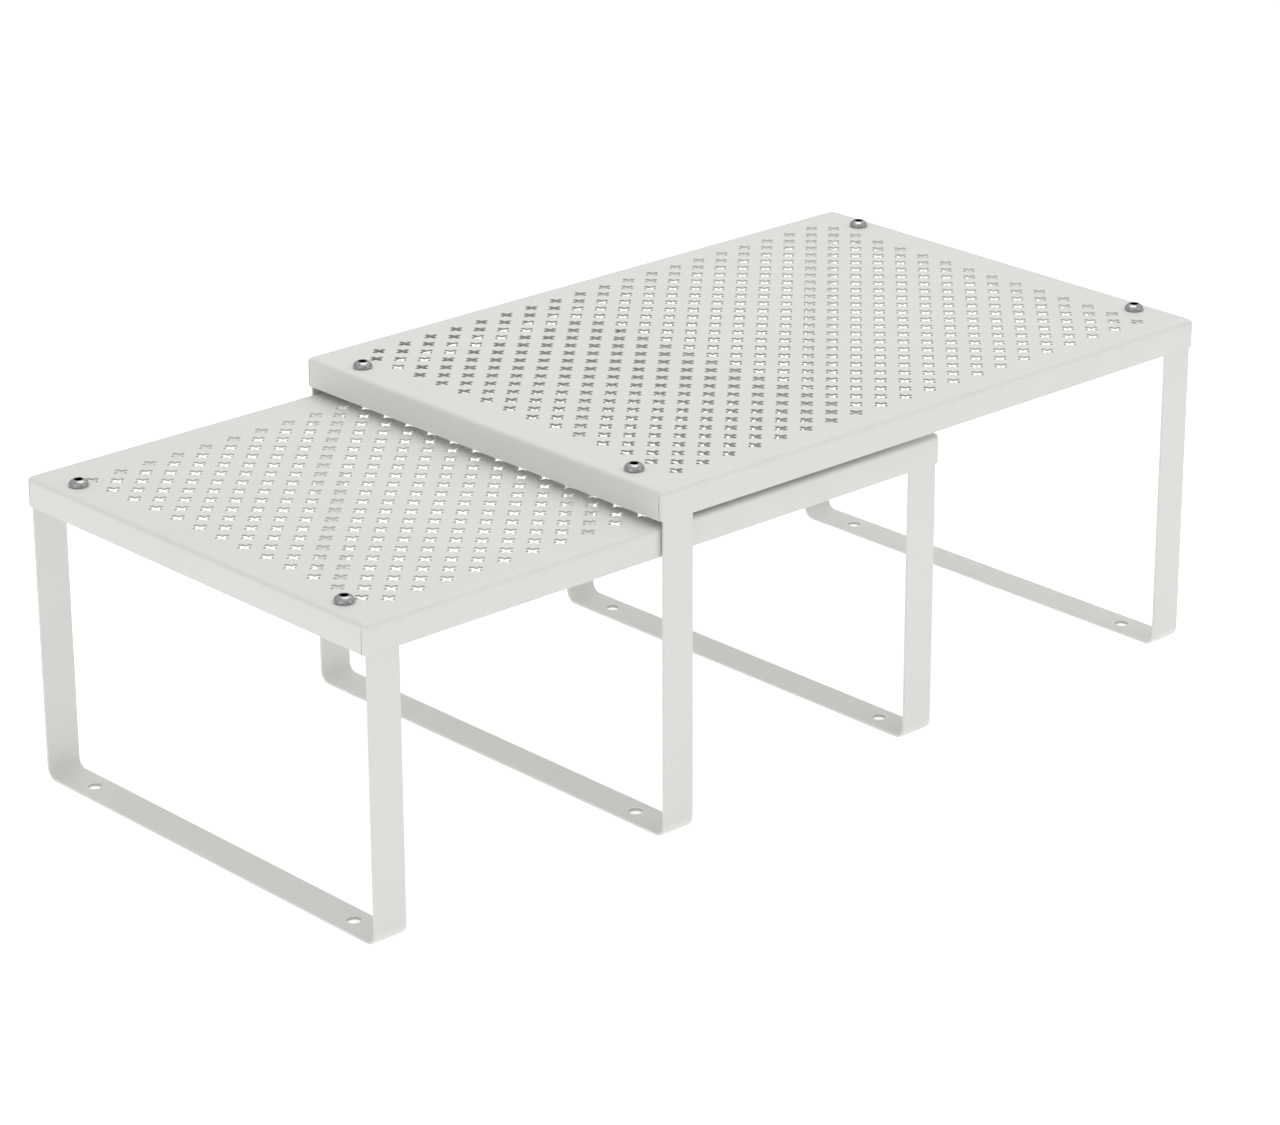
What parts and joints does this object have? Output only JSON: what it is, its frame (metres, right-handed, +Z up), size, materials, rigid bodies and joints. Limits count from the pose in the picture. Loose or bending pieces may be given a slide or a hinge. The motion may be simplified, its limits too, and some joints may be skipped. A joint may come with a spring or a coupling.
{
  "type": "tiered shelf riser",
  "caption": "Perforated sheet-metal shelf on flat strip legs, with a lower matching shelf that slides out from under it to make a second tier.",
  "frame": {"origin": "on the floor, in the middle of the set's footprint with the lower shelf drawn half out", "axes": "+X along the slide, from the lower shelf towards the upper one; +Y from front to back; +Z up"},
  "size_m": [0.587, 0.284, 0.1936],
  "materials": {
    "powder_coat": "satin off-white powder coat with a fine texture",
    "bright_steel": "bright plated steel"
  },
  "bodies": {
    "upper_shelf": {"upper_panel": "powder_coat", "upper_left_leg": "powder_coat", "upper_right_leg": "powder_coat", "upper_left_front_bolt": "bright_steel", "upper_left_front_nut": "bright_steel", "upper_left_back_bolt": "bright_steel", "upper_left_back_nut": "bright_steel", "upper_right_front_bolt": "bright_steel", "upper_right_front_nut": "bright_steel", "upper_right_back_bolt": "bright_steel", "upper_right_back_nut": "bright_steel"},
    "lower_shelf": {"lower_panel": "powder_coat", "lower_left_leg": "powder_coat", "lower_right_leg": "powder_coat", "lower_left_front_bolt": "bright_steel", "lower_left_front_nut": "bright_steel", "lower_left_back_bolt": "bright_steel", "lower_left_back_nut": "bright_steel", "lower_right_front_bolt": "bright_steel", "lower_right_front_nut": "bright_steel", "lower_right_back_bolt": "bright_steel", "lower_right_back_nut": "bright_steel"}
  },
  "joints": [
    {"name": "lower_shelf_slide", "type": "slide", "parent": "upper_shelf", "child": "lower_shelf", "axis": [1, 0, 0], "range_m": [-0.158, 0.166]}
  ]
}
